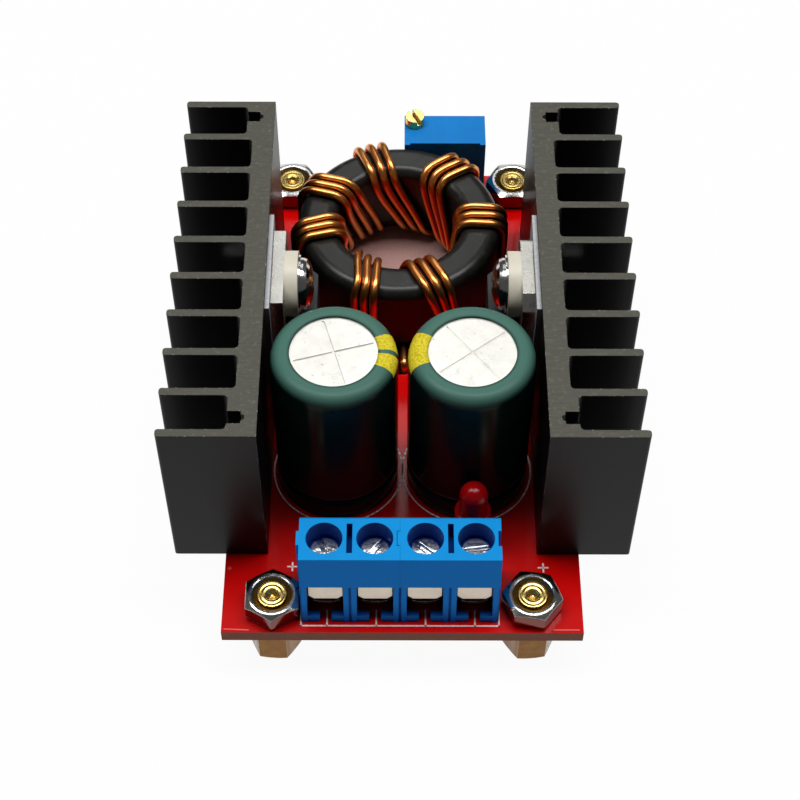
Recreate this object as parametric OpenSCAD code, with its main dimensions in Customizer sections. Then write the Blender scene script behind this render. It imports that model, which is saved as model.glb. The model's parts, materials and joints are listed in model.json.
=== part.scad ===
// Open-frame step-up power converter: a red board on brass posts, two finned heatsinks with a power
// device screwed to each, a toroid choke, two can capacitors, two screw terminals and a trimmer.
// X runs across the board, Y from the terminals to the trimmer, Z up. The posts stand on Z = 0.

/* [Board] */
// Width of the board, side to side
board_w = 37.3; // [36:0.1:44]
// Length of the board, front to back
board_l = 64.7; // [64.6:0.1:72]
// Thickness of the board
board_t = 1.6; // [1.2:0.1:2.4]
// Room between a lead and the wall of its hole in the board
lead_room = 0.15; // [0.05:0.05:0.2]
// How far the leads stand out below the board
lead_tail = 1.5; // [1:0.1:2.5]

/* [Posts and nuts] */
// Distance between the post centres across the board
post_span_x = 26.8; // [25.6:0.1:28]
// Distance of the front posts from the front edge of the board
post_front = 3.2; // [3.2:0.05:3.5]
// Distance of the rear posts from the rear edge of the board
post_rear = 2.9; // [2.9:0.05:3.5]
// Height of the hexagon posts under the board
post_h = 5; // [4:0.5:15]
// Width across the flats of a post
post_af = 5; // [4.6:0.1:5.5]
// Metal left above the tapped hole of a post
post_floor = 0.9; // [0.5:0.1:1.5]
// Diameter of the threads: post studs, nuts and the screws in the heatsinks
thread_d = 3; // [2.6:0.1:3.1]
// Diameter of the tapped hole in the foot of a post
tap_d = 2.5; // [2:0.1:2.6]
// Room between a thread and the thread that it turns in
thread_fit = 0.03; // [0.02:0.01:0.06]
// Room round a stud in the board
stud_room = 0.1; // [0.05:0.05:0.2]
// Width across the flats of a nut
nut_af = 5.5; // [5:0.1:5.5]
// Height of a nut
nut_h = 2.4; // [1.8:0.1:3]
// Room between the flats of the front nuts and the terminals
nut_room = 0.49; // [0.45:0.01:0.6]

/* [Heatsinks] */
// Height of a heatsink
sink_h = 21.15; // [20.8:0.05:26]
// Length of a heatsink
sink_l = 46.1; // [42:0.1:47]
// Depth of a heatsink from its flat face to the fin tips
sink_depth = 9.85; // [7:0.05:12]
// Distance between the flat faces of the two heatsinks
sink_span = 28.4; // [26.5:0.1:30]
// Distance of the heatsinks from the front edge of the board
sink_front = 9.5; // [7.5:0.1:11]
// Thickness of the plate that carries the fins
sink_base = 2.3; // [2:0.1:2.8]
// Thickness of that plate in the two end bays
sink_end_base = 3; // [2.9:0.1:3.4]
// Number of fins, even so that a bay is in the middle
fin_n = 10; // [8:2:12]
// Thickness of a fin
fin_t = 0.9; // [0.7:0.05:1.1]
// Radius at the root of the fins
fin_root_r = 0.45; // [0.2:0.05:0.6]
// Radius at the tips of the fins
fin_tip_r = 0.3; // [0.1:0.05:0.3]
// Diameter of the solder pins pressed into the end bays
pin_d = 1.4; // [1:0.1:1.5]
// Distance of a solder pin from the end of its heatsink
pin_inset = 2.35; // [2:0.05:2.6]
// Length of a solder pin inside its heatsink
pin_grip = 8; // [5:0.5:12]
// Room between a solder pin and its slot
pin_fit = 0.04; // [0.02:0.01:0.08]

/* [Power devices] */
// Width of a device, along the heatsink
dev_w = 10; // [9.6:0.1:10.6]
// Thickness of the metal tab
tab_t = 1.3; // [1:0.1:1.5]
// Height of the tab above the moulded body
tab_h = 6.5; // [6:0.1:7]
// Distance of the tab hole from the top of the tab
tab_hole_drop = 2.8; // [2.5:0.1:3.1]
// Corner cut of the diode's tab
tab_cut = 1.4; // [0.5:0.1:2]
// Height of the moulded body
dev_body_h = 8.9; // [8.4:0.1:9.4]
// Thickness of the moulded body in front of the tab
dev_body_t = 3.2; // [2.8:0.1:3.6]
// Height of the moulded body above the board
dev_raise = 4.3; // [2:0.1:5]
// Distance between neighbouring leads
dev_pitch = 2.54; // [2.3:0.02:2.7]
// Width of a lead
dev_lead_w = 0.8; // [0.6:0.1:1]
// Thickness of a lead
dev_lead_t = 0.5; // [0.4:0.05:0.6]
// Distance of the leads from the back of the tab
dev_lead_back = 2.6; // [2.2:0.1:3]
// Thickness of the insulating pad behind the tab
pad_t = 0.5; // [0.2:0.05:0.8]
// Width of the insulating pad
pad_w = 13; // [11:0.5:16]
// Height of the insulating pad
pad_h = 17; // [16:0.5:17.5]
// Height of the pad above the top of the tab
pad_over = 0.9; // [0.2:0.1:1]
// Diameter of the insulating bush
bush_d = 7; // [6.4:0.1:7.6]
// Thickness of the bush's flange
bush_t = 1.4; // [1:0.1:1.8]
// Wall of the bush's sleeve in the tab hole
bush_wall = 0.3; // [0.2:0.05:0.4]
// Room between the bush, the tab and the screw
bush_fit = 0.05; // [0.03:0.01:0.1]
// Diameter of the screw head
head_d = 5.6; // [5:0.1:6]
// Height of the screw head
head_h = 1.4; // [1.1:0.1:1.7]
// Length of the screw below its head
tab_screw_l = 8; // [6.5:0.5:10]

/* [Choke] */
// Outer diameter of the core
core_od = 22.9; // [22:0.1:22.9]
// Inner diameter of the core
core_id = 14.3; // [13.8:0.1:15]
// Height of the core
core_h = 9.3; // [8:0.1:11]
// Radius of the core's edges
core_edge = 1.2; // [0.8:0.1:1.5]
// Height of the core above the board
core_raise = 1.4; // [1.3:0.1:2]
// Place of the core's centre across the board
core_x = -0.4; // [-0.6:0.1:0]
// Gap between the core and the trimmer behind it
core_gap = 0.27; // [0.2:0.01:1]
// Diameter of a strand of the winding
wire_d = 0.9; // [0.7:0.05:0.9]
// Room between the winding and the core
wire_room = 0.1; // [0.08:0.01:0.15]

/* [Capacitors] */
// Gap between the two capacitors
cap_gap = 0.96; // [0.4:0.02:2]
// Least gap between a capacitor and its heatsink
cap_sink_gap = 0.72; // [0.3:0.02:1.5]
// Height of a capacitor above the board
cap_h = 20.7; // [16:0.1:25]
// Distance between the capacitors' centres
cap_span = 13.96; // [13:0.02:15]
// Distance of the capacitors' centres from the front edge of the board
cap_y = 20.45; // [20.3:0.05:21]
// Thickness of the sleeve
sleeve_t = 0.15; // [0.1:0.05:0.3]
// Width of the sleeve's rim round the bare disc on top
cap_rim = 2.025; // [1.9:0.025:2.4]
// Radius of the shoulder round the top
cap_shoulder = 1.3; // [0.8:0.1:1.6]
// Diameter of a capacitor lead
cap_lead_d = 0.8; // [0.6:0.05:0.9]
// Distance between the two leads of a capacitor
cap_pitch = 5; // [4:0.1:6]
// Room between the sleeve, the can and the seal
cap_fit = 0.03; // [0.02:0.01:0.05]

/* [Terminals] */
// Place of the terminals' middle across the board
term_x = -0.25; // [-0.25:0.01:0]
// Distance of the terminals' foot from the front edge of the board
term_front = 1.2; // [1:0.1:1.6]
// Depth of a terminal housing at its foot
term_depth = 6.55; // [6.5:0.05:6.8]
// How far the front face leans back at the top
term_lean = 1.27; // [0.8:0.01:1.4]
// Height of a terminal housing
term_h = 10; // [9.8:0.1:11]
// Width of the wire opening and of the clamp chamber
chamber_w = 3.7; // [3.5:0.05:3.9]
// Height of the wire opening
mouth_h = 5.7; // [5.4:0.1:6]
// Height of the sill in front of the opening
sill_h = 1.1; // [0.8:0.1:1.3]
// Width of the notch in the sill
notch_w = 1.2; // [0.8:0.1:1.6]
// Diameter of the screw wells in the top
well_d = 3.7; // [3.5:0.05:3.9]
// Distance of the screws from the front edge of the board
well_y = 5.07; // [5:0.01:5.15]
// Width of the slot between two poles
web_slot_w = 0.57; // [0.4:0.01:0.7]
// Depth of a contact frame, front to back
frame_depth = 3.94; // [3.7:0.02:3.96]
// Thickness of a contact frame's sides
frame_t = 0.3; // [0.25:0.05:0.35]
// Thickness of a contact frame's floor
frame_floor_t = 0.48; // [0.3:0.02:0.6]
// Thickness of a contact frame's tapped top
frame_top_t = 1.2; // [0.8:0.1:1.3]
// Room between a contact frame and its chamber
frame_room = 0.08; // [0.05:0.01:0.12]
// Thickness of the pressure leaf under a clamp screw
leaf_t = 0.3; // [0.2:0.02:0.35]
// Room between a pressure leaf and what it slides past
leaf_room = 0.07; // [0.05:0.01:0.1]
// Height between a leaf and the frame's floor, as shown
wire_gap = 1.2; // [1.1:0.05:1.3]
// Travel of a leaf up and down from there
leaf_travel = 1; // [0.5:0.1:1]
// Diameter of the clamp screws' heads
clamp_head_d = 3.4; // [3.1:0.05:3.5]
// Height of the clamp screws' heads
clamp_head_h = 0.9; // [0.8:0.05:1]
// Diameter of the clamp screws' shanks
clamp_shank_d = 2.5; // [2:0.1:2.5]
// Room round the clamp screws' shanks
screw_room = 0.05; // [0.03:0.01:0.08]

/* [Trimmer] */
// Width of the trimmer
trim_w = 9.53; // [9:0.01:9.7]
// Depth of the trimmer
trim_d = 4.83; // [4.4:0.01:4.83]
// Height of the trimmer's housing
trim_h = 10.03; // [9:0.01:11]
// Height of the trimmer's feet
trim_foot = 0.4; // [0.2:0.1:0.8]
// Place of the trimmer's middle across the board
trim_x = 5; // [4.8:0.05:5.1]
// Distance of the trimmer from the rear edge of the board
trim_rear = 0.25; // [0:0.05:0.25]
// Diameter of the adjusting screw's head
adjust_d = 2.2; // [2:0.05:2.3]
// Height of the adjusting screw above the housing
adjust_proud = 1.15; // [0.8:0.05:1.6]
// Distance of the adjusting screw from the two nearest sides
adjust_inset = 1.2; // [1.15:0.05:1.5]
// Diameter of the adjusting screw's shaft
adjust_shaft_d = 1.5; // [1.2:0.1:1.6]
// Length of the adjusting screw's shaft in the housing
adjust_shaft_l = 6; // [4:0.5:7]
// Running room of the adjusting screw
adjust_fit = 0.05; // [0.03:0.01:0.08]

/* [Indicator] */
// Diameter of the lamp's dome
led_d = 3; // [2.8:0.1:3]
// Height of the lamp from its rim to the top of its dome
led_h = 5.3; // [4.6:0.1:6]
// Height of the lamp's rim above the board
led_raise = 3.8; // [2:0.1:5]
// Place of the lamp across the board
led_x = 7.35; // [7:0.05:7.8]
// Distance of the lamp from the front edge of the board
led_y = 11.9; // [10.5:0.05:11.95]

/* [Underside] */
// Length of the control chip
chip_l = 4.9; // [4.5:0.1:5.2]
// Width of the control chip's body
chip_w = 3.9; // [3.6:0.1:4.1]
// Height of the control chip's body
chip_h = 1.45; // [1.2:0.05:1.7]
// Place of the control chip, measured from the front edge of the board
chip_y = 46; // [44:0.5:48]
// Length of the small chip parts
small_l = 2; // [1.6:0.1:2.2]
// Width of the small chip parts
small_w = 1.25; // [0.8:0.05:1.4]
// Height of a solder joint
solder_h = 0.9; // [0.5:0.1:1.2]

/* [Hidden] */
$fn = 48;
board_top = post_h + board_t;
front = -board_l / 2;
arc_steps = 5;
mil = 0.01;
cut = 1;

// A point list along an arc in a plane
function arc2(c, r, a0, a1, n = arc_steps) =
    [for (i = [0:n]) let (a = a0 + (a1 - a0) * i / n) [c[0] + r * cos(a), c[1] + r * sin(a)]];

// Posts and nuts
post_span_y = board_l - post_front - post_rear;
post_turn = [[-4, 5], [0, 0]];
nut_turn = [[30, -8], [0, 0]];
post_chamfer = 0.35;
nut_chamfer = 0.75;
nut_sink_d = 4.3;
nut_sink_h = 0.6;
nut_face_h = 0.15;
stud_l = board_t + nut_h - 0.1;
dimple_d = 1.5;
dimple_h = 0.5;
hex_corner = 2 / sqrt(3);
post_spots = [for (i = [0, 1], j = [0, 1])
    [(2 * i - 1) * post_span_x / 2, front + post_front + j * post_span_y, post_turn[j][i], nut_turn[j][i]]];

// Heatsinks
sink_pitch = (sink_l - fin_t) / (fin_n - 1);
slot_w = pin_d + 2 * pin_fit;
slot_depth = slot_w - 0.1;
slot_nose_w = 0.8;
slot_nose = 0.35;
pin_out = sink_end_base - slot_w / 2;
pin_spots = [for (i = [-1, 1], y = [pin_inset, sink_l - pin_inset])
    [i * (sink_span / 2 + pin_out), sink_front + y]];

// Power devices
dev_y = sink_front + sink_l / 2;
tab_back = sink_span / 2 - pad_t;
tab_face = tab_back - tab_t;
tab_top = dev_raise + dev_body_h + tab_h;
screw_z = tab_top - tab_hole_drop;
bush_bore_d = thread_d + 2 * bush_fit;
bush_sleeve_d = bush_bore_d + 2 * bush_wall;
tab_hole_d = bush_sleeve_d + 2 * bush_fit;
dev_lead_x = tab_back - dev_lead_back;
dev_shoulder = 0.5;
dev_anchor = 1.6;
dev_shoulder_w = dev_lead_w + 0.4;
dev_edge = 0.5;
head_rim_t = 0.25;
head_rim_d = head_d + 0.6;
cross_l = 3;
cross_w = 0.65;
cross_h = 0.8;
dev_spots = [for (i = [-1, 1], j = [-1, 0, 1]) [i * dev_lead_x, dev_y + j * dev_pitch]];

// Choke: each turn is three strands side by side. A turn passes the core's four rounded edges: outer
// foot, outer top, inner top, inner foot. Its places there are in degrees round the core, and the steps
// from strand to strand are lengths.
core_ro = core_od / 2;
core_ri = core_id / 2;
core_y = board_l - trim_rear - trim_d - core_gap - core_ro;
core_z0 = core_raise;
core_z1 = core_raise + core_h;
core_mid_r = (core_ro + core_ri) / 2;
core_mid_z = (core_z0 + core_z1) / 2;
wire_off = wire_d / 2 + wire_room;
wire_ro = core_ro + wire_off;
wire_ri = core_ri - wire_off;
bend_r = core_edge + wire_off;
half_bend = bend_r * PI / 4;
bend_steps = 2;
run_steps = 2;
wire_sides = 8;
turn_low = [-109, -164, -205, -250, -306, -350, -417];
turn_over = [-109, -167, -206, -252.5, -311, -361, -428];
turn_in = [-119, -169, -212, -254, -304, -361, -432];
turn_under = [-153, -200, -241, -288, -330, -412, -458];
step_out = [1.1, 1.2, 1.3, 1.5, 1.5, 1.3, 1.3];
step_in = 1.12;
step_under = 1.25;
end_angle = -452;
end_step = 1.1;
end_reach = 2.2;
end_bend = 0.6;
end_r = core_ro + end_reach;
wire_slot_l = 2 * max(step_out[0], end_step) + wire_d + 2 * lead_room;
wire_slot_w = wire_d + 2 * lead_room + 0.2;
edge_at = [
    [core_ro - core_edge, core_z0 + core_edge], [core_ro - core_edge, core_z1 - core_edge],
    [core_ri + core_edge, core_z1 - core_edge], [core_ri + core_edge, core_z0 + core_edge]];

function polar(r, a, z) = [core_x + r * cos(a), core_y + r * sin(a), z];
function wire_tail(r, a) = polar(r, a, -board_t - lead_tail);
// Angle of a length along a circle
function angle_of(l, r) = l / r * 180 / PI;
// Angles of the strand s at every edge that it passes
function edge_angles(s) = [for (k = [0:len(turn_over) - 1])
    let (out = s * angle_of(step_out[k], wire_ro))
    each [turn_low[k] + out, turn_over[k] + out,
        turn_in[k] + s * angle_of(step_in, wire_ri), turn_under[k] + s * angle_of(step_under, wire_ri)]];
// Point of the wire in the core's section, on the bend round edge i
function bend_at(i, t) = edge_at[i % 4] + bend_r * [cos(t), sin(t)];
// Path from the middle of the bend round edge i to that of the next edge, from angle a to angle b
function side_path(i, a, b) =
    let (p = bend_at(i, 90 * i))
    let (q = bend_at(i + 1, 90 * i))
    let (run = norm(q - p))
    let (places = concat(
        [for (n = [1:bend_steps]) let (f = n / bend_steps)
            [bend_at(i, 90 * i - 45 + 45 * f), half_bend * f]],
        [for (n = [1:run_steps - 1]) let (f = n / run_steps)
            [p + (q - p) * f, half_bend + run * f]],
        [for (n = [0:bend_steps]) let (f = n / bend_steps)
            [bend_at(i + 1, 90 * i + 45 * f), half_bend + run + half_bend * f]]))
    [for (w = places) polar(w[0][0], a + (b - a) * w[1] / (run + 2 * half_bend), w[0][1])];
function strand_start(a) = concat(
    [wire_tail(wire_ro, a[0])],
    [for (p = side_path(0, a[0], a[1])) if (p[2] >= core_z0 + core_edge) p]);
function strand_end(s, a) =
    let (b = end_angle + s * angle_of(end_step, end_r))
    let (z = core_z0 - wire_off)
    concat(
        [for (n = [1:bend_steps]) let (p = bend_at(3, 225 + 45 * n / bend_steps)) polar(p[0], a, p[1])],
        [polar(end_r - end_bend, b, z), polar(end_r, b, z - end_bend), wire_tail(end_r, b)]);
function strand_path(s) =
    let (a = edge_angles(s))
    let (last = len(a) - 1)
    concat(
        strand_start(a),
        [for (i = [1:last - 1]) each side_path(i, a[i], a[i + 1])],
        strand_end(s, a[last]));
function unit(v) = v / norm(v);
function outward(p) =
    let (a = atan2(p[1] - core_y, p[0] - core_x))
    p - polar(core_mid_r, a, core_mid_z);
function step(path, i) = unit(path[i + 1] - path[i]);
function along(path, i) =
    i == 0 ? step(path, 0)
    : i == len(path) - 1 ? step(path, i - 1)
    : step(path, i - 1) + step(path, i);
function ring(path, i) =
    let (t = unit(along(path, i)))
    let (o = outward(path[i]))
    let (u = unit(o - (o * t) * t))
    let (v = cross(t, u))
    [for (j = [0:wire_sides - 1]) let (a = 360 * j / wire_sides)
        path[i] + wire_d / 2 * (cos(a) * u + sin(a) * v)];

// Capacitors: as wide as the room between them and beside the heatsinks allows
cap_d = min(cap_span - cap_gap, sink_span - cap_span - 2 * cap_sink_gap);
disc_d = cap_d - 2 * cap_rim;
cap_r = cap_d / 2;
can_r = cap_r - sleeve_t - cap_fit;
can_z0 = 0.35;
can_z1 = cap_h - sleeve_t - cap_fit;
groove_z = 2.9;
groove_h = 1.1;
groove_depth = 0.4;
seal_r = can_r - 0.8;
seal_h = 1.7;
score_w = 0.22;
score_h = 0.12;
cap_score_turn = [16, 38];
cap_spots = [for (i = [-1, 1], j = [-1, 1]) [i * cap_span / 2 + j * cap_pitch / 2, cap_y]];

// Terminals: four poles fill the room between the front nuts
pole_n = 4;
pole_pitch = (post_span_x - nut_af - 2 * nut_room) / pole_n;
block_w = 2 * pole_pitch;
pole_x = [for (i = [0:pole_n - 1]) term_x + (i - (pole_n - 1) / 2) * pole_pitch];
term_rear = term_front + term_depth;
term_rear_cut = 0.35;
frame_w = chamber_w - 2 * frame_room;
frame_y0 = well_y - frame_depth / 2;
frame_y1 = well_y + frame_depth / 2;
frame_z0 = 0.57;
frame_floor = frame_z0 + frame_floor_t;
leaf_z0 = frame_floor + wire_gap;
leaf_h = 3;
leaf_z1 = leaf_z0 + leaf_h;
leaf_y1 = frame_y0 - leaf_room;
leaf_y0 = leaf_y1 - leaf_t;
leaf_w = frame_w - 0.06;
leaf_cut = 0.55;
leaf_tongue_w = frame_w - 2 * frame_t - 0.8;
roof_room = 0.6;
frame_roof = leaf_z0 + leaf_t + leaf_travel + roof_room;
frame_z1 = frame_roof + frame_top_t;
frame_round = 1.1;
chamber_y0 = leaf_y0 - 0.1;
chamber_y1 = frame_y1 + frame_room;
chamber_z1 = frame_z1 + frame_room;
ledge_z1 = chamber_z1 + 0.45;
term_pin_t = 0.46;
term_pin_y = frame_y1 - 0.5;
sill_y0 = term_front + 0.1;
sill_t = 0.7;
web_slot_l = 3.46;
web_slot_h = 2.2;
tongue_l = 1.7;
tongue_t = 0.28;
tongue_z = 2;
groove_room = 0.04;
rib_groove_w = 0.25;
rib_groove_t = 0.18;
term_pin_w = 0.95;
driver_slot_w = 0.6;
driver_slot_h = 0.5;
screw_gap = 0.02;
clamp_head_z = ledge_z1 + leaf_travel + 0.1;
clamp_turn = [115, 50, 140, 8];
term_spots = [for (x = pole_x) [x, term_pin_y]];

// Trimmer
trim_y1 = board_l - trim_rear;
trim_y0 = trim_y1 - trim_d;
trim_z1 = trim_foot + trim_h;
trim_recess = 0.25;
trim_rib = 0.65;
foot_w = 0.9;
plate_h = 0.8;
plate_rim = 0.5;
adjust_x = trim_x - trim_w / 2 + adjust_inset;
adjust_y = trim_y1 - adjust_inset;
adjust_slot_w = 0.5;
adjust_slot_h = 0.6;
adjust_turn = 118;
trim_pin_d = 0.5;
trim_pitch = 2.54;
trim_spots = [for (i = [-1, 0, 1]) [trim_x + i * trim_pitch, (trim_y0 + trim_y1) / 2]];

// Indicator
led_rim_d = led_d + 0.8;
led_rim_h = 1;
led_lead_d = 0.5;
led_pitch = 2.54;
led_spots = [for (i = [-0.5, 0.5]) [led_x + i * led_pitch, led_y]];

// Underside
chip_pitch = 1.27;
chip_foot = 0.15;
chip_lead_t = 0.2;
chip_lead_w = 0.42;
chip_reach = 1.05;
small_h = 0.55;
small_cap = 0.35;
sense_l = 6.3;
sense_w = 3.2;
sense_h = 0.6;
sense_spot = [-4.5, 27.5];
beside_chip = [[6, -2], [6, 1], [6, 4], [0, 7]];
under_choke = [[-6.1, -3.9], [-6.1, -0.9]];
resistor_spots = concat(
    [for (p = beside_chip) [0, chip_y] + p],
    [for (p = under_choke) [core_x, core_y] + p]);
capacitor_spots = [[core_x - 6.1, core_y + 2.1], [3.2, chip_y - 5.5], [core_x - 8.6, core_y + 9.1], [9, 28]];

// Every round lead hole: place, half width of the lead, radius of its solder pad
dev_lead_r = norm([dev_lead_w, dev_lead_t]) / 2;
term_pin_r = norm([term_pin_w, term_pin_t]) / 2;
lead_table = [
    [term_spots, term_pin_r, 1.15],
    [cap_spots, cap_lead_d / 2, 0.95],
    [led_spots, led_lead_d / 2, 0.7],
    [dev_spots, dev_lead_r, 0.95],
    [trim_spots, trim_pin_d / 2, 0.75],
    [pin_spots, pin_d / 2, 1.25]];
wire_slots = [
    [wire_ro, turn_low[0], angle_of(step_out[0], wire_ro)],
    [end_r, end_angle, angle_of(end_step, end_r)]];

// Places its children with X = 0 on the middle of the board, Y from its front edge, Z from its top
module on_board() {
    translate([0, front, board_top]) children();
}

// A box from its lowest and highest corners
module block(a, b) {
    translate(a) cube(b - a);
}

// A slot with round ends, along X
module round_slot(l, w, h) {
    block([-(l - w) / 2, -w / 2, 0], [(l - w) / 2, w / 2, h]);
    for (i = [-1, 1]) translate([i * (l - w) / 2, 0, 0]) cylinder(h = h, d = w);
}

// A hexagon bar whose ends are turned to a chamfer
module chamfered_hex(af, h, c0, c1) {
    r = af / 2 * hex_corner;
    intersection() {
        cylinder(h = h, r = r, $fn = 6);
        rotate_extrude() polygon([[0, 0], [r - c0, 0], [r, c0 / 2], [r, h - c1 / 2], [r - c1, h], [0, h]]);
    }
}

module pcb() {
    color("firebrick") difference() {
        translate([-board_w / 2, front, post_h]) cube([board_w, board_l, board_t]);
        for (p = post_spots)
            translate([p[0], p[1], post_h - cut])
                cylinder(h = board_t + 2 * cut, d = thread_d + 2 * stud_room);
        on_board() {
            for (row = lead_table, p = row[0])
                translate([p[0], p[1], -board_t - cut])
                    cylinder(h = board_t + 2 * cut, r = row[1] + lead_room);
            for (w = wire_slots)
                translate(polar(w[0], w[1], -board_t - cut)) rotate(w[1] + 90)
                    round_slot(wire_slot_l, wire_slot_w, board_t + 2 * cut);
        }
    }
}

module posts() {
    color("goldenrod") for (p = post_spots) translate([p[0], p[1], 0]) difference() {
        union() {
            rotate(p[2]) chamfered_hex(post_af, post_h, post_chamfer, 0);
            translate([0, 0, post_h - mil]) cylinder(h = stud_l + mil, d = thread_d);
        }
        translate([0, 0, -cut]) cylinder(h = post_h - post_floor + cut, d = tap_d);
        translate([0, 0, post_h + stud_l - dimple_h])
            cylinder(h = dimple_h + mil, d1 = 0.3, d2 = dimple_d);
    }
}

module nuts() {
    color("silver") for (p = post_spots) translate([p[0], p[1], board_top]) difference() {
        union() {
            cylinder(h = nut_face_h + mil, d = nut_af - 0.3);
            translate([0, 0, nut_face_h]) rotate(p[3])
                chamfered_hex(nut_af, nut_h - nut_face_h, nut_chamfer, nut_chamfer);
        }
        translate([0, 0, -cut]) cylinder(h = nut_h + 2 * cut, d = thread_d + 2 * thread_fit);
        translate([0, 0, nut_h - nut_sink_h])
            cylinder(h = nut_sink_h + mil, d1 = thread_d, d2 = nut_sink_d);
    }
}

// Outline of the bay after fin i: down one fin, along the plate, up the next fin
function bay_outline(i) =
    let (v0 = i * sink_pitch + fin_t)
    let (v1 = (i + 1) * sink_pitch)
    let (is_end = i == 0 || i == fin_n - 2)
    let (b = is_end ? sink_end_base : sink_base)
    let (r = fin_root_r)
    let (s = i == 0 ? pin_inset : sink_l - pin_inset)
    concat(
        arc2([sink_depth - fin_tip_r, v0 - fin_tip_r], fin_tip_r, 0, 90, 3),
        arc2([b + r, v0 + r], r, 270, 180, 3),
        is_end ? pin_slot_outline(b, s) : [],
        arc2([b + r, v1 - r], r, 180, 90, 3),
        arc2([sink_depth - fin_tip_r, v1 + fin_tip_r], fin_tip_r, 270, 360, 3));
function pin_slot_outline(b, s) = [
    [b, s - slot_w / 2],
    [b - slot_depth, s - slot_w / 2],
    [b - slot_depth, s - slot_nose_w / 2],
    [b - slot_depth - slot_nose, s - slot_nose_w / 4],
    [b - slot_depth - slot_nose, s + slot_nose_w / 4],
    [b - slot_depth, s + slot_nose_w / 2],
    [b - slot_depth, s + slot_w / 2],
    [b, s + slot_w / 2]];
sink_outline = concat(
    [[0, 0]],
    arc2([sink_depth - fin_tip_r, fin_tip_r], fin_tip_r, -90, 0, 3),
    [for (i = [0:fin_n - 2]) each bay_outline(i)],
    arc2([sink_depth - fin_tip_r, sink_l - fin_tip_r], fin_tip_r, 0, 90, 3),
    [[0, sink_l]]);

module heatsink() {
    on_board() difference() {
        translate([sink_span / 2, sink_front, 0]) linear_extrude(sink_h) polygon(sink_outline);
        translate([sink_span / 2 - cut, dev_y, screw_z]) rotate([0, 90, 0])
            cylinder(h = sink_base + 2 * cut, d = thread_d + 2 * thread_fit);
    }
}

module heatsink_right() {
    color([0.13, 0.13, 0.13]) heatsink();
}

module heatsink_left() {
    color([0.13, 0.13, 0.13]) mirror([1, 0, 0]) heatsink();
}

module heatsink_pins() {
    color("lightgray") on_board() for (p = pin_spots)
        translate([p[0], p[1], -board_t - lead_tail]) cylinder(h = pin_grip + board_t + lead_tail, d = pin_d);
}

// Draws its children on the right heatsink's device and again, mirrored, on the left one
module both_sides() {
    on_board() for (m = [0, 1]) mirror([m, 0, 0]) children();
}

module insulating_pads() {
    pad_z1 = tab_top + pad_over;
    color("gainsboro") both_sides() difference() {
        block([tab_back, dev_y - pad_w / 2, pad_z1 - pad_h], [sink_span / 2, dev_y + pad_w / 2, pad_z1]);
        translate([tab_back - cut, dev_y, screw_z]) rotate([0, 90, 0])
            cylinder(h = pad_t + 2 * cut, d = tab_hole_d);
    }
}

module insulating_bushes() {
    color("ivory") both_sides() translate([tab_face, dev_y, screw_z]) rotate([0, 90, 0]) difference() {
        union() {
            translate([0, 0, -bush_t]) cylinder(h = bush_t, d = bush_d);
            translate([0, 0, -mil]) cylinder(h = tab_t + mil, d = bush_sleeve_d);
        }
        translate([0, 0, -bush_t - cut]) cylinder(h = bush_t + tab_t + 2 * cut, d = bush_bore_d);
    }
}

module device_screws() {
    rim_z = -bush_t - head_rim_t;
    dome = concat([[0, rim_z]], [[head_d / 2, rim_z]],
        [for (i = [0:arc_steps]) let (a = 90 * i / arc_steps)
            [head_d / 2 - 0.5 * head_d * (1 - cos(a)), rim_z - 0.3 - (head_h - 0.3) * sin(a)]]);
    color("whitesmoke") both_sides() translate([tab_face, dev_y, screw_z]) rotate([0, 90, 0]) difference() {
        union() {
            translate([0, 0, rim_z]) cylinder(h = head_rim_t, d = head_rim_d);
            rotate_extrude() polygon(dome);
            translate([0, 0, rim_z]) cylinder(h = tab_screw_l + head_rim_t, d = thread_d);
        }
        for (a = [35, 125]) rotate(a)
            block([-cross_l / 2, -cross_w / 2, rim_z - head_h - cut],
                [cross_l / 2, cross_w / 2, rim_z - head_h + cross_h]);
    }
}

// Tab and leads of one device, on the right heatsink
module leadframe(corner) {
    y0 = dev_y - dev_w / 2;
    y1 = dev_y + dev_w / 2;
    on_board() {
        difference() {
            translate([tab_face, 0, 0]) rotate([90, 0, 90]) linear_extrude(tab_t) polygon([
                [y0, dev_raise + dev_edge], [y1, dev_raise + dev_edge], [y1, tab_top - corner],
                [y1 - corner, tab_top], [y0 + corner, tab_top], [y0, tab_top - corner]]);
            translate([tab_face - cut, dev_y, screw_z]) rotate([0, 90, 0])
                cylinder(h = tab_t + 2 * cut, d = tab_hole_d);
        }
        device_leads();
    }
}

// Three leads held in the moulded body; the middle one is joined to the tab
module device_leads() {
    t = dev_lead_t / 2;
    anchor_z = dev_raise + dev_anchor;
    for (j = [-1, 0, 1]) translate([dev_lead_x, dev_y + j * dev_pitch, 0]) {
        block([-t, -dev_shoulder_w / 2, dev_shoulder], [t, dev_shoulder_w / 2, anchor_z]);
        block([-t, -dev_lead_w / 2, -board_t - lead_tail], [t, dev_lead_w / 2, dev_shoulder + mil]);
    }
    block([dev_lead_x - t, dev_y - dev_shoulder_w / 2, anchor_z - 2 * t],
        [tab_face + mil, dev_y + dev_shoulder_w / 2, anchor_z]);
}

// Moulded body of one device, on the right heatsink
module device_body() {
    y0 = dev_y - dev_w / 2;
    y1 = dev_y + dev_w / 2;
    x0 = tab_face - dev_body_t;
    on_board() difference() {
        translate([0, 0, dev_raise]) linear_extrude(dev_body_h) polygon([
            [tab_face, y0], [tab_face, y1], [x0 + dev_edge, y1], [x0, y1 - dev_edge],
            [x0, y0 + dev_edge], [x0 + dev_edge, y0]]);
        device_leads();
        translate([x0 - cut, dev_y, dev_raise + dev_body_h / 2]) rotate([0, 90, 0])
            cylinder(h = cut + 0.15, d = 1.6);
    }
}

module transistor_leadframe() {
    color("silver") mirror([1, 0, 0]) leadframe(mil);
}

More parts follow.
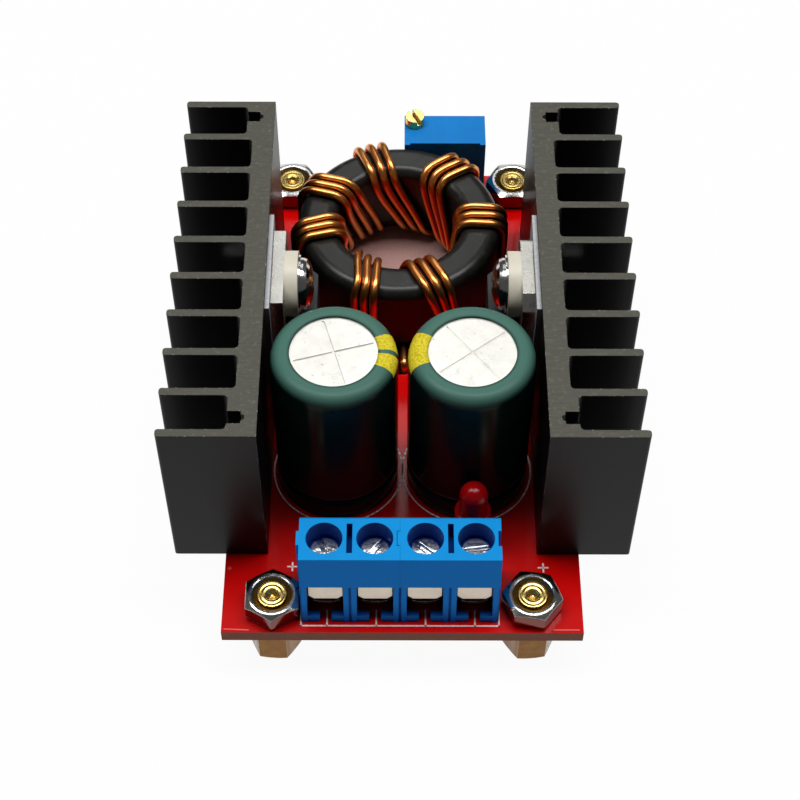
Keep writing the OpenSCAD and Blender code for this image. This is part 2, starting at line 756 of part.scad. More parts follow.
module transistor_body() {
    color([0.1, 0.1, 0.1]) mirror([1, 0, 0]) device_body();
}

module diode_leadframe() {
    color("silver") leadframe(tab_cut);
}

module diode_body() {
    color([0.1, 0.1, 0.1]) device_body();
}

module choke_core() {
    e = core_edge;
    color([0.16, 0.16, 0.16]) on_board() translate([core_x, core_y, 0]) rotate_extrude() polygon(concat(
        arc2([core_ro - e, core_z0 + e], e, -90, 0),
        arc2([core_ro - e, core_z1 - e], e, 0, 90),
        arc2([core_ri + e, core_z1 - e], e, 90, 180),
        arc2([core_ri + e, core_z0 + e], e, 180, 270)));
}

// One strand of the winding, swept along all its turns; s is -1, 0 or 1 across the three strands
module choke_strand(s) {
    path = strand_path(s);
    last = len(path) - 1;
    n = wire_sides;
    points = [for (i = [0:last]) each ring(path, i)];
    sides = [for (i = [0:last - 1], j = [0:n - 1]) let (k = (j + 1) % n)
        each [[i * n + j, (i + 1) * n + j, (i + 1) * n + k], [i * n + j, (i + 1) * n + k, i * n + k]]];
    caps = [[for (j = [0:n - 1]) j], [for (j = [n - 1:-1:0]) last * n + j]];
    color("peru") on_board() polyhedron(points = points, faces = concat(sides, caps));
}

module choke_strand_a() {
    choke_strand(-1);
}

module choke_strand_b() {
    choke_strand(0);
}

module choke_strand_c() {
    choke_strand(1);
}

// Half section of a can or sleeve wall at radius r, from z0 to the shoulder under z1
function can_wall(r, z0, z1, shoulder) = concat(
    [[r, z0], [r, groove_z - groove_h / 2], [r - groove_depth, groove_z - groove_h / 6],
     [r - groove_depth, groove_z + groove_h / 6], [r, groove_z + groove_h / 2]],
    arc2([r - shoulder, z1 - shoulder], shoulder, 0, 90));
function backwards(v) = [for (i = [len(v) - 1:-1:0]) v[i]];

module capacitor_can(i) {
    color("whitesmoke") on_board() translate([i * cap_span / 2, cap_y, 0]) difference() {
        rotate_extrude() polygon(concat(
            [[0, can_z0]], can_wall(can_r, can_z0, can_z1, cap_shoulder - sleeve_t), [[0, can_z1]]));
        translate([0, 0, can_z0 - cut]) cylinder(h = seal_h + cut, r = seal_r + cap_fit);
        for (a = [0, 90]) rotate(a + cap_score_turn[i < 0 ? 0 : 1])
            block([-disc_d / 2 + 0.3, -score_w / 2, can_z1 - score_h],
                [disc_d / 2 - 0.3, score_w / 2, can_z1 + cut]);
    }
}

module capacitor_sleeve(i) {
    z0 = can_z0 - 0.1;
    outer = can_wall(cap_r, z0, cap_h, cap_shoulder);
    inner = can_wall(cap_r - sleeve_t, z0, cap_h - sleeve_t, cap_shoulder - sleeve_t);
    color("darkslategray") on_board() translate([i * cap_span / 2, cap_y, 0]) rotate_extrude()
        polygon(concat(outer, [[disc_d / 2, cap_h], [disc_d / 2, cap_h - sleeve_t]], backwards(inner)));
}

module capacitor_seal(i) {
    color("dimgray") on_board() translate([i * cap_span / 2, cap_y, 0]) difference() {
        cylinder(h = can_z0 + seal_h - cap_fit, r = seal_r);
        for (j = [-1, 1]) translate([j * cap_pitch / 2, 0, -cut])
            cylinder(h = can_z0 + seal_h + 2 * cut, d = cap_lead_d + 2 * cap_fit);
    }
}

module capacitor_leads(i) {
    color("silver") on_board() for (j = [-1, 1])
        translate([i * cap_span / 2 + j * cap_pitch / 2, cap_y, -board_t - lead_tail])
            cylinder(h = board_t + lead_tail + can_z0 + seal_h - cap_fit, d = cap_lead_d);
}

module capacitor_left_can() {
    capacitor_can(-1);
}

module capacitor_left_sleeve() {
    capacitor_sleeve(-1);
}

module capacitor_left_seal() {
    capacitor_seal(-1);
}

module capacitor_left_leads() {
    capacitor_leads(-1);
}

module capacitor_right_can() {
    capacitor_can(1);
}

module capacitor_right_sleeve() {
    capacitor_sleeve(1);
}

module capacitor_right_seal() {
    capacitor_seal(1);
}

module capacitor_right_leads() {
    capacitor_leads(1);
}

// Hollow of one pole: wire opening, sill and notch, clamp chamber and screw well
module pole_hollow() {
    w = chamber_w / 2;
    sill_y1 = sill_y0 + sill_t;
    block([-w, -cut, sill_h], [w, chamber_y0 + mil, mouth_h]);
    block([-w, -cut, -cut], [w, sill_y0, sill_h + mil]);
    block([-w, sill_y1, -cut], [w, chamber_y0 + mil, sill_h + mil]);
    block([-notch_w / 2, -cut, -cut], [notch_w / 2, chamber_y0 + mil, sill_h + mil]);
    block([-w, chamber_y0, -cut], [w, chamber_y1, chamber_z1]);
    block([-w, chamber_y0, chamber_z1 - cut],
        [w, leaf_y1 + leaf_room / 2, leaf_z1 + leaf_travel + leaf_room]);
    translate([0, well_y, chamber_z1 - mil]) cylinder(h = cut, d = clamp_shank_d + 2 * screw_room);
    translate([0, well_y, ledge_z1]) cylinder(h = term_h - ledge_z1 + cut, d = well_d);
}

// Two-pole housing with its middle at x: a tongue on its left side and a groove on its right side
module terminal_housing(x) {
    lean = atan2(term_lean, term_h);
    tongue_y = well_y - tongue_l / 2;
    color("dodgerblue") on_board() translate([x, 0, 0]) difference() {
        union() {
            translate([-block_w / 2, 0, 0]) rotate([90, 0, 90]) linear_extrude(block_w) polygon([
                [term_front, 0], [term_rear, 0], [term_rear, term_h - term_rear_cut],
                [term_rear - term_rear_cut, term_h], [term_front + term_lean, term_h]]);
            block([-block_w / 2 - tongue_t, tongue_y, tongue_z],
                [-block_w / 2 + mil, tongue_y + tongue_l, term_h]);
        }
        for (i = [-1, 1]) translate([i * pole_pitch / 2, 0, 0]) pole_hollow();
        block([-web_slot_w / 2, well_y - web_slot_l / 2, term_h - web_slot_h],
            [web_slot_w / 2, well_y + web_slot_l / 2, term_h + cut]);
        block([block_w / 2 - tongue_t - groove_room, tongue_y - groove_room, tongue_z - groove_room],
            [block_w / 2 + cut, tongue_y + tongue_l + groove_room, term_h + cut]);
        for (i = [-1, 0, 1]) translate([i * block_w / 2, term_front, 0]) rotate([-lean, 0, 0])
            block([-rib_groove_w / 2, -cut, -cut], [rib_groove_w / 2, rib_groove_t, mouth_h]);
    }
}

module terminal_housing_in() {
    terminal_housing(term_x - pole_pitch);
}

module terminal_housing_out() {
    terminal_housing(term_x + pole_pitch);
}

// Outline of a contact frame seen from the front: round lower corners outside and inside
function frame_ring(w, z0, z1, r) = concat(
    [[w, z1]], arc2([w - r, z0 + r], r, 0, -90), arc2([-w + r, z0 + r], r, -90, -180), [[-w, z1]]);

// Fixed frame of one pole: tapped top, sides, round floor that the wire lies on, and solder pin
module terminal_frame(i) {
    w = frame_w / 2;
    pin_w = term_pin_w / 2;
    color("khaki") on_board() translate([pole_x[i], 0, 0]) {
        difference() {
            translate([0, frame_y1, 0]) rotate([90, 0, 0]) linear_extrude(frame_depth) difference() {
                polygon(frame_ring(w, frame_z0, frame_z1, frame_round));
                polygon(frame_ring(w - frame_t, frame_floor, frame_roof, frame_round - frame_t));
            }
            translate([0, well_y, frame_roof - cut])
                cylinder(h = frame_top_t + 2 * cut, d = clamp_shank_d + 2 * screw_room);
        }
        block([-pin_w, term_pin_y - term_pin_t / 2, -board_t - lead_tail],
            [pin_w, term_pin_y + term_pin_t / 2, frame_z0 + mil]);
    }
}

// Bent leaf between screw and wire: a guard in front of the frame and a tongue under the screw
module terminal_leaf(i) {
    w = leaf_w / 2;
    t = leaf_tongue_w / 2;
    color("gainsboro") on_board() translate([pole_x[i], 0, 0]) {
        translate([0, leaf_y1, 0]) rotate([90, 0, 0]) linear_extrude(leaf_t) polygon([
            [-w + leaf_cut, leaf_z0], [w - leaf_cut, leaf_z0], [w, leaf_z0 + leaf_cut],
            [w, leaf_z1], [-w, leaf_z1], [-w, leaf_z0 + leaf_cut]]);
        block([-w + leaf_cut, leaf_y0, leaf_z0], [w - leaf_cut, frame_y0 + mil, leaf_z0 + leaf_t]);
        block([-t, frame_y0, leaf_z0], [t, frame_y1 - 0.3, leaf_z0 + leaf_t]);
    }
}

module terminal_screw(i) {
    tip_z = leaf_z0 + leaf_t + screw_gap;
    head_z = clamp_head_z;
    color("lightsteelblue") on_board() translate([pole_x[i], well_y, 0]) difference() {
        union() {
            translate([0, 0, tip_z]) cylinder(h = head_z - tip_z + mil, d = clamp_shank_d);
            translate([0, 0, head_z]) rotate_extrude() polygon([
                [0, 0], [clamp_head_d / 2, 0], [clamp_head_d / 2, clamp_head_h - 0.2],
                [clamp_head_d / 2 - 0.3, clamp_head_h], [0, clamp_head_h]]);
        }
        rotate(clamp_turn[i])
            block([-clamp_head_d, -driver_slot_w / 2, head_z + clamp_head_h - driver_slot_h],
                [clamp_head_d, driver_slot_w / 2, head_z + clamp_head_h + cut]);
    }
}

module trimmer_housing() {
    x0 = trim_x - trim_w / 2;
    x1 = trim_x + trim_w / 2;
    color("royalblue") on_board() difference() {
        union() {
            block([x0, trim_y0, trim_foot], [x1, trim_y1, trim_z1]);
            block([x0, trim_y0, 0], [x0 + foot_w, trim_y1, trim_foot + mil]);
            block([x1 - foot_w, trim_y0, 0], [x1, trim_y1, trim_foot + mil]);
        }
        block([x0 + trim_rib, trim_y0 - cut, -cut], [x1 - trim_rib, trim_y0 + trim_recess, trim_z1 + cut]);
        block([x0 + foot_w + plate_rim, trim_y0 + trim_recess + plate_rim, trim_foot - cut],
            [x1 - foot_w - plate_rim, trim_y1 - plate_rim, trim_foot + plate_h]);
        translate([adjust_x, adjust_y, trim_z1 - adjust_shaft_l - 0.1])
            cylinder(h = adjust_shaft_l + cut, d = adjust_shaft_d + 2 * adjust_fit);
    }
}

module trimmer_plate() {
    x0 = trim_x - trim_w / 2 + foot_w + plate_rim + adjust_fit;
    x1 = trim_x + trim_w / 2 - foot_w - plate_rim - adjust_fit;
    color("midnightblue") on_board() difference() {
        block([x0, trim_y0 + trim_recess + plate_rim + adjust_fit, trim_foot],
            [x1, trim_y1 - plate_rim - adjust_fit, trim_foot + plate_h]);
        for (p = trim_spots) translate([p[0], p[1], 0])
            cylinder(h = trim_foot + plate_h + cut, d = trim_pin_d + 2 * adjust_fit);
    }
}

module trimmer_pins() {
    color("silver") on_board() for (p = trim_spots)
        translate([p[0], p[1], -board_t - lead_tail])
            cylinder(h = board_t + lead_tail + trim_foot + plate_h, d = trim_pin_d);
}

module trimmer_screw() {
    color("gold") on_board() translate([adjust_x, adjust_y, trim_z1]) difference() {
        union() {
            translate([0, 0, -adjust_shaft_l]) cylinder(h = adjust_shaft_l + 0.1, d = adjust_shaft_d);
            translate([0, 0, adjust_fit]) cylinder(h = adjust_proud - adjust_fit, d = adjust_d);
        }
        rotate(adjust_turn) block([-adjust_d, -adjust_slot_w / 2, adjust_proud - adjust_slot_h],
            [adjust_d, adjust_slot_w / 2, adjust_proud + cut]);
    }
}

module led_lens() {
    r = led_d / 2;
    color("red") on_board() translate([led_x, led_y, led_raise]) rotate_extrude() polygon(concat(
        [[0, 0], [led_rim_d / 2, 0], [led_rim_d / 2, led_rim_h], [r, led_rim_h]],
        arc2([0, led_h - r], r, 0, 90, 8)));
}

module led_leads() {
    color("silver") on_board() for (p = led_spots)
        translate([p[0], p[1], -board_t - lead_tail])
            cylinder(h = board_t + lead_tail + led_raise, d = led_lead_d);
}

// Turns its children over, so that they hang from the underside of the board at a place on it
module under_board(x, y) {
    translate([x, front + y, post_h]) mirror([0, 0, 1]) children();
}

module control_chip_body() {
    w = chip_w / 2;
    z1 = chip_foot + chip_h;
    zm = chip_foot + chip_h / 2;
    bevel = 0.15;
    color([0.12, 0.12, 0.12]) under_board(0, chip_y) difference() {
        translate([-chip_l / 2, 0, 0]) rotate([90, 0, 90]) linear_extrude(chip_l) polygon([
            [-w + bevel, chip_foot], [w - bevel, chip_foot], [w, zm],
            [w - bevel, z1], [-w + bevel, z1], [-w, zm]]);
        translate([-chip_l / 2 + 0.7, -w + 0.8, z1 - 0.1]) cylinder(h = cut, d = 0.6);
    }
}

module control_chip_leads() {
    zm = chip_foot + chip_h / 2;
    t = chip_lead_t;
    reach = chip_reach;
    color("silver") under_board(0, chip_y) for (m = [0, 1], i = [-1.5:1.5]) mirror([0, m, 0])
        translate([i * chip_pitch - chip_lead_w / 2, chip_w / 2, 0]) rotate([90, 0, 90])
            linear_extrude(chip_lead_w) polygon([
                [0, zm - t / 2], [0.3, zm - t / 2], [0.45, 0], [reach, 0], [reach, t],
                [0.6, t], [0.45, zm + t / 2], [0, zm + t / 2]]);
}

// One chip part lying under the board, with a metal cap at each end
module chip_part(l, w, h) {
    block([-l / 2 + small_cap, -w / 2 + 0.03, 0], [l / 2 - small_cap, w / 2 - 0.03, h - 0.03]);
    for (i = [-1, 1]) translate([i * (l - small_cap) / 2, 0, 0])
        block([-small_cap / 2 - mil, -w / 2, 0], [small_cap / 2 + mil, w / 2, h]);
}

module chip_resistors() {
    color([0.15, 0.15, 0.15]) for (p = resistor_spots)
        under_board(p[0], p[1]) chip_part(small_l, small_w, small_h);
}

module chip_capacitors() {
    color("tan") for (p = capacitor_spots) under_board(p[0], p[1]) chip_part(small_l, small_w, small_h + 0.3);
}

module sense_resistor() {
    color([0.15, 0.15, 0.15]) under_board(sense_spot[0], sense_spot[1]) chip_part(sense_l, sense_w, sense_h);
}

module solder_joints() {
    fit = 0.02;
    color("lightgray") {
        for (row = lead_table, p = row[0]) under_board(p[0], p[1]) difference() {
            cylinder(h = solder_h, r1 = row[2], r2 = row[1] + 0.2);
            translate([0, 0, -cut]) cylinder(h = solder_h + 2 * cut, r = row[1] + fit);
        }
        for (w = wire_slots) under_board(0, 0) difference() {
            translate(polar(w[0], w[1], 0)) rotate(w[1] + 90)
                round_slot(wire_slot_l + 0.8, wire_slot_w + 0.6, solder_h);
            for (s = [-1, 0, 1]) translate(polar(w[0], w[1] + s * w[2], -cut))
                cylinder(h = solder_h + 2 * cut, r = wire_d / 2 + fit);
        }
    }
}

pcb();
posts();
nuts();
heatsink_left();
heatsink_right();
heatsink_pins();
insulating_pads();
insulating_bushes();
device_screws();
transistor_leadframe();
transistor_body();
diode_leadframe();
diode_body();
choke_core();
choke_strand_a();
choke_strand_b();
choke_strand_c();
capacitor_left_can();
capacitor_left_sleeve();
capacitor_left_seal();
capacitor_left_leads();
capacitor_right_can();
capacitor_right_sleeve();
capacitor_right_seal();
capacitor_right_leads();
terminal_housing_in();
terminal_housing_out();
terminal_frame(0);  // terminal_frame_1
terminal_frame(1);  // terminal_frame_2
terminal_frame(2);  // terminal_frame_3
terminal_frame(3);  // terminal_frame_4
terminal_leaf(0);  // terminal_leaf_1
terminal_leaf(1);  // terminal_leaf_2
terminal_leaf(2);  // terminal_leaf_3
terminal_leaf(3);  // terminal_leaf_4
terminal_screw(0);  // terminal_screw_1
terminal_screw(1);  // terminal_screw_2
terminal_screw(2);  // terminal_screw_3
terminal_screw(3);  // terminal_screw_4
trimmer_housing();
trimmer_plate();
trimmer_pins();
trimmer_screw();
led_lens();
led_leads();
control_chip_body();
control_chip_leads();
chip_resistors();
chip_capacitors();
sense_resistor();
solder_joints();
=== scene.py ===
"""Looks of the boost converter module on its CAD frame: finishes, winding, board print, camera, light."""
import json
import math

import bpy
from mathutils import Matrix, Vector


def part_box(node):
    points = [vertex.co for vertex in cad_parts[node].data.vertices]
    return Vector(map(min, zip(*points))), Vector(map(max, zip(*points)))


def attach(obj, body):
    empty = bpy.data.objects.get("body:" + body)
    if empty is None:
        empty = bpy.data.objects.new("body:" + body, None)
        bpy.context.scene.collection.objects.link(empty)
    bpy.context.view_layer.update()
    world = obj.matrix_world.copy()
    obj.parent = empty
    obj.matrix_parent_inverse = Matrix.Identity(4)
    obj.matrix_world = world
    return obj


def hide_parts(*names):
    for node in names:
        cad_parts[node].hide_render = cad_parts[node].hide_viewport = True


MM = 0.001

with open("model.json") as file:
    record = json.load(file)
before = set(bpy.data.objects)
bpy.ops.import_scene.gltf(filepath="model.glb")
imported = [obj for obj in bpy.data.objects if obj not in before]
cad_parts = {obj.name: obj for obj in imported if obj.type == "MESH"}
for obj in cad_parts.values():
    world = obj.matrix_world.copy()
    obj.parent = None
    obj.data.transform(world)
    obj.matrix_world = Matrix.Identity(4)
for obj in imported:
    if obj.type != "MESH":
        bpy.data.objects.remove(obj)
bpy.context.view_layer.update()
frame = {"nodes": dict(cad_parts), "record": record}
nodes = frame["nodes"]
scene = bpy.context.scene
BASE = "base"

board_lo, board_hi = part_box("pcb")
FRONT = board_lo.y
TOP = board_hi.z


def centre(node):
    """Middle of a CAD node's box."""
    lo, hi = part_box(node)
    return (lo + hi) / 2


# Shader graphs


class Graph:
    """A material's node graph. Most methods add a step and return the socket that comes out of it.

    Places are in metres, so that a noise of scale 1000 has grains of about a millimetre.
    """

    def __init__(self, name):
        self.material = bpy.data.materials.new(name)
        self.material.use_nodes = True
        self.tree = self.material.node_tree
        self.tree.nodes.clear()
        self._place = None

    def put(self, socket, value):
        """Links another socket to an input, or sets the input to a number or colour."""
        if isinstance(value, bpy.types.NodeSocket):
            self.tree.links.new(value, socket)
        elif isinstance(value, tuple) and len(value) == 3 and socket.type == "RGBA":
            socket.default_value = (*value, 1)
        else:
            socket.default_value = value

    def node(self, kind, inputs=(), **settings):
        """Adds a node and returns it."""
        made = self.tree.nodes.new(kind)
        for key, value in settings.items():
            setattr(made, key, value)
        for key, value in dict(inputs).items():
            self.put(made.inputs[key], value)
        return made

    def place(self):
        """The point on the object, in the shared frame."""
        if self._place is None:
            self._place = self.node("ShaderNodeTexCoord").outputs["Object"]
        return self._place

    def xyz(self, vector=None):
        """The three parts of a vector, or of the place."""
        return self.node("ShaderNodeSeparateXYZ", {0: vector or self.place()}).outputs

    def flat_normal(self):
        """The normal of the face itself, before any smoothing."""
        return self.node("ShaderNodeNewGeometry").outputs["True Normal"]

    def rise(self):
        """1 on faces that look up, 0 on upright ones and -1 on those that look down."""
        return self.xyz(self.flat_normal())[2]

    def level(self):
        """1 on level faces, above and below, and 0 on upright ones."""
        return self.math("ABSOLUTE", self.rise())

    def stretch(self, x, y, z):
        """The place with its axes scaled, for streaks."""
        return self.node("ShaderNodeMapping", {"Vector": self.place(), "Scale": (x, y, z)}).outputs[0]

    def noise(self, scale, detail=3.0, roughness=0.55, vector=None):
        made = self.node("ShaderNodeTexNoise", {
            "Vector": vector or self.place(), "Scale": scale, "Detail": detail, "Roughness": roughness})
        return made.outputs["Fac"]

    def math(self, operation, a, b=0.0, clamp=False):
        return self.node("ShaderNodeMath", {0: a, 1: b}, operation=operation, use_clamp=clamp).outputs[0]

    def plus(self, a, b):
        return self.math("ADD", a, b)

    def minus(self, a, b):
        return self.math("SUBTRACT", a, b)

    def times(self, a, b):
        return self.math("MULTIPLY", a, b)

    def between(self, value, low, high, out_low=0.0, out_high=1.0):
        """Goes from out_low to out_high while the value goes from low to high."""
        made = self.node("ShaderNodeMapRange", {
            "Value": value, "From Min": low, "From Max": high, "To Min": out_low, "To Max": out_high})
        return made.outputs["Result"]

    def mix(self, factor, a, b):
        """Colour a where the factor is 0 and b where it is 1."""
        made = self.node("ShaderNodeMix", data_type="RGBA")
        for name, value in (("Factor_Float", factor), ("A_Color", a), ("B_Color", b)):
            socket = next(s for s in made.inputs if s.identifier == name)
            self.put(socket, value)
        return next(s for s in made.outputs if s.identifier == "Result_Color")

    def bump(self, height, strength, distance, normal=None):
        made = self.node("ShaderNodeBump", {"Height": height, "Strength": strength, "Distance": distance})
        if normal is not None:
            self.put(made.inputs["Normal"], normal)
        return made.outputs["Normal"]

    def rounded(self, radius, samples=4):
        """The surface normal with the edges rounded to that radius."""
        return self.node("ShaderNodeBevel", {"Radius": radius}, samples=samples).outputs["Normal"]

    def open_air(self, distance, low, high):
        """0 in deep corners and 1 in the open."""
        made = self.node("ShaderNodeAmbientOcclusion", {"Distance": distance}, samples=6)
        return self.between(made.outputs["AO"], low, high)

    def edge(self, radius):
        """1 on the edges and 0 away from them."""
        vectors = {0: self.rounded(radius), 1: self.flat_normal()}
        dot = self.node("ShaderNodeVectorMath", vectors, operation="DOT_PRODUCT").outputs["Value"]
        return self.between(self.minus(1.0, dot), 0.02, 0.2)

    def surface(self, **inputs):
        """Ends the graph in a Principled shader. An input name is the socket's, with _ for a space."""
        shader = self.node("ShaderNodeBsdfPrincipled", {k.replace("_", " "): v for k, v in inputs.items()})
        return self.end(shader)

    def end(self, shader):
        """Sends a shader to the output and returns the material."""
        out = self.node("ShaderNodeOutputMaterial")
        self.tree.links.new(shader.outputs[0], out.inputs[0])
        return self.material


# Finishes

POST_SPAN_X, POST_SPAN_Y, POST_MIDDLE_Y = 26.8 * MM, 58.6 * MM, 0.15 * MM
TURNING_PITCH = 0.42 * MM
NUT_SINK_R = 2.15 * MM
LEAF_LEAN = 0.24
TERMINAL_DEEP = 3.2 * MM
CAP_SHOULDER = 1.3 * MM


def solder_mask():
    """Glossy red mask over copper areas, with painted shade in deep gaps, on a tan laminate that shows at
    the edges.
    """
    g = Graph("solder_mask")
    cloud = g.noise(160, 2.0)
    areas = g.between(g.noise(95, 0.0), 0.49, 0.51)
    red = g.mix(areas, (0.46, 0.0, 0.0), (0.57, 0.0, 0.0))
    red = g.mix(g.between(cloud, 0.3, 0.7), red, (0.53, 0.0, 0.0))
    # Painted shade: the red turns dark where parts around the board close it in.
    red = g.mix(g.open_air(12 * MM, 0.08, 0.32), (0.07, 0.0, 0.0), red)
    layers = g.noise(900, 3.0, vector=g.stretch(1.0, 1.0, 9.0))
    tan = g.mix(layers, (0.16, 0.05, 0.03), (0.28, 0.11, 0.07))
    face = g.between(g.level(), 0.4, 0.6)
    grain = g.plus(g.times(areas, 0.6), g.times(g.noise(1500), 0.25))
    return g.surface(
        Base_Color=g.mix(face, tan, red),
        Roughness=g.between(face, 0.0, 1.0, 0.8, 0.22),
        Normal=g.bump(grain, 0.25, 0.04 * MM),
        Specular_IOR_Level=0.28,
    )


def ink(name, thin, full):
    """Screen print, thin in specks."""
    g = Graph(name)
    speckle = g.noise(5000, 2.0)
    return g.surface(
        Base_Color=g.mix(g.between(speckle, 0.3, 0.75), thin, full),
        Roughness=g.between(speckle, 0.3, 0.7, 0.5, 0.6),
    )


def black_anodised():
    """Extruded sides with faint draw lines; saw-cut top and bottom, grey from painted sheen, with dark
    rims and bright burrs.
    """
    g = Graph("black_anodised")
    level = g.between(g.level(), 0.8, 0.95)
    saw = g.noise(1.0, 4.0, 0.7, g.stretch(500, 4200, 500))
    mottle = g.noise(1800, 4.0, 0.65)
    # Painted sheen: level faces get a grey that stands for the lamp's reflection; the saw marks and mottle
    # on them are real.
    sawn_and_sheen = g.mix(g.between(saw, 0.3, 0.7), (0.064, 0.063, 0.051), (0.089, 0.087, 0.069))
    sawn_and_sheen = g.mix(g.between(mottle, 0.55, 0.8), sawn_and_sheen, (0.145, 0.142, 0.118))
    draw = g.noise(1.0, 3.0, 0.6, g.stretch(2600, 2600, 40))
    side = g.mix(draw, (0.002, 0.002, 0.002), (0.004, 0.004, 0.004))
    rim = g.edge(0.16 * MM)
    burr = g.between(g.noise(2200, 3.0, 0.7), 0.58, 0.64)
    colour = g.mix(level, side, sawn_and_sheen)
    colour = g.mix(g.times(rim, 0.55), colour, (0.02, 0.02, 0.019))
    colour = g.mix(g.times(rim, burr), colour, (0.55, 0.54, 0.5))
    return g.surface(
        Base_Color=colour,
        Roughness=g.plus(g.between(level, 0.0, 1.0, 0.34, 0.5), g.times(mottle, 0.08)),
        Specular_IOR_Level=0.14,
        Normal=g.bump(g.mix(level, draw, saw), 0.18, 0.03 * MM, g.rounded(0.14 * MM)),
    )


def metal(name, colour, roughness, grain=2500, bump=0.06):
    """Plain plated metal: slight stain, fine scratches, softened edges."""
    g = Graph(name)
    stain = g.noise(420, 3.0)
    fine = g.noise(grain, 3.0, 0.65)
    dark = tuple(0.78 * c for c in colour)
    return g.surface(
        Base_Color=g.mix(g.between(stain, 0.3, 0.75), colour, dark),
        Metallic=1.0,
        Roughness=g.between(fine, 0.2, 0.8, 0.7 * roughness, 1.3 * roughness),
        Normal=g.bump(fine, bump, 0.02 * MM, g.rounded(0.08 * MM)),
    )


def post_distance(g):
    """Distance from the axis of the nearest post, and height."""
    x, y, z = g.xyz()
    dx = g.minus(g.math("ABSOLUTE", x), POST_SPAN_X / 2)
    dy = g.minus(g.math("ABSOLUTE", g.minus(y, POST_MIDDLE_Y)), POST_SPAN_Y / 2)
    return g.math("SQRT", g.plus(g.times(dx, dx), g.times(dy, dy))), z


def post_brass():
    """Brass turned on a lathe: rings on the ends of the studs, and painted shade below the board."""
    g = Graph("post_brass")
    r, z = post_distance(g)
    rings = g.math("SINE", g.times(r, 2 * math.pi / TURNING_PITCH))
    stain = g.between(g.noise(600, 3.0), 0.3, 0.7)
    stud = g.mix(stain, (0.8, 0.58, 0.19), (0.6, 0.41, 0.12))
    # Painted shade: the post below the board gets a dark brown, for the board's shadow.
    foot = g.mix(stain, (0.22, 0.095, 0.01), (0.14, 0.055, 0.006))
    return g.surface(
        Base_Color=g.mix(g.math("GREATER_THAN", z, board_lo.z), foot, stud),
        Metallic=1.0,
        Roughness=g.between(g.noise(2500), 0.2, 0.8, 0.16, 0.34),
        Normal=g.bump(rings, 0.35, 0.06 * MM, g.rounded(0.1 * MM)),
    )


def nut_nickel():
    """Bright nickel with a dull brassy thread inside, darkened as painted shade, and upright sides painted
    dark red as a reflection of the board.
    """
    g = Graph("nut_nickel")
    r, _ = post_distance(g)
    stain = g.noise(420, 3.0)
    fine = g.noise(2500, 3.0, 0.65)
    bright = g.mix(g.between(stain, 0.3, 0.75), (0.8, 0.79, 0.76), (0.62, 0.6, 0.57))
    # Painted reflection: upright sides get a dark red, for the red board that they mirror.
    colour = g.mix(g.between(g.level(), 0.1, 0.4), (0.16, 0.045, 0.035), bright)
    # Painted shade: the thread and countersink inside the nut get a dull, dark brass.
    thread = g.between(r, NUT_SINK_R - 0.12 * MM, NUT_SINK_R - 0.06 * MM, 1.0, 0.0)
    return g.surface(
        Base_Color=g.mix(thread, colour, (0.26, 0.19, 0.09)),
        Metallic=1.0,
        Roughness=g.plus(g.between(fine, 0.2, 0.8, 0.1, 0.18), g.times(thread, 0.15)),
        Normal=g.bump(fine, 0.05, 0.02 * MM, g.rounded(0.2 * MM)),
    )


def screw_nickel():
    """Clamp screws: bright nickel, scored by the driver."""
    g = Graph("screw_nickel")
    dents = g.noise(1300, 2.0, 0.5)
    fine = g.noise(2600, 3.0, 0.65)
    return g.surface(
        Base_Color=g.mix(g.between(fine, 0.3, 0.7), (0.8, 0.83, 0.88), (0.62, 0.65, 0.7)),
        Metallic=1.0,
        Roughness=g.between(fine, 0.2, 0.8, 0.1, 0.2),
        Normal=g.bump(dents, 0.8, 0.05 * MM, g.rounded(0.16 * MM)),
    )


def leaf_tin():
    """Tinned pressure leaf, sprung so that it leans back a little."""
    g = Graph("leaf_tin")
    stain = g.noise(500, 3.0)
    straight = g.node("ShaderNodeNewGeometry").outputs["Normal"]
    leant = g.node("ShaderNodeVectorMath", {0: straight, 1: (0, 0, LEAF_LEAN)}, operation="ADD").outputs[0]
    return g.surface(
        Base_Color=g.mix(g.between(stain, 0.3, 0.75), (0.62, 0.55, 0.46), (0.52, 0.46, 0.38)),
        Metallic=1.0,
        Roughness=g.between(g.noise(2600), 0.2, 0.8, 0.26, 0.36),
        Normal=g.node("ShaderNodeVectorMath", {0: leant}, operation="NORMALIZE").outputs[0],
    )


def pad_grey():
    """Insulating pads: pale film with a fine weave, with painted shade low down where parts close them in.
    """
    g = Graph("pad_grey")
    weave = g.noise(3500, 2.0)
    pale = g.mix(g.between(weave, 0.35, 0.7), (0.44, 0.45, 0.46), (0.34, 0.35, 0.365))
    return g.surface(
        # Painted shade: the pale film turns near black where it is closed in.
        Base_Color=g.mix(g.open_air(12 * MM, 0.15, 0.7), (0.05, 0.05, 0.055), pale),
        Roughness=g.between(weave, 0.25, 0.75, 0.42, 0.58),
        Normal=g.bump(weave, 0.2, 0.02 * MM, g.rounded(0.12 * MM)),
    )


def plastic(name, colour, roughness, shade=0.75, bump=0.06, **more):
    """Moulded plastic: cloudy colour, fine texture, softened edges."""
    g = Graph(name)
    cloud = g.noise(300, 3.0)
    fine = g.noise(2200, 2.0)
    dark = tuple(shade * c for c in colour)
    return g.surface(
        Base_Color=g.mix(g.between(cloud, 0.35, 0.7), colour, dark),
        Roughness=g.between(fine, 0.25, 0.75, 0.85 * roughness, 1.15 * roughness),
        Normal=g.bump(fine, bump, 0.02 * MM, g.rounded(0.12 * MM)),
        **more,
    )


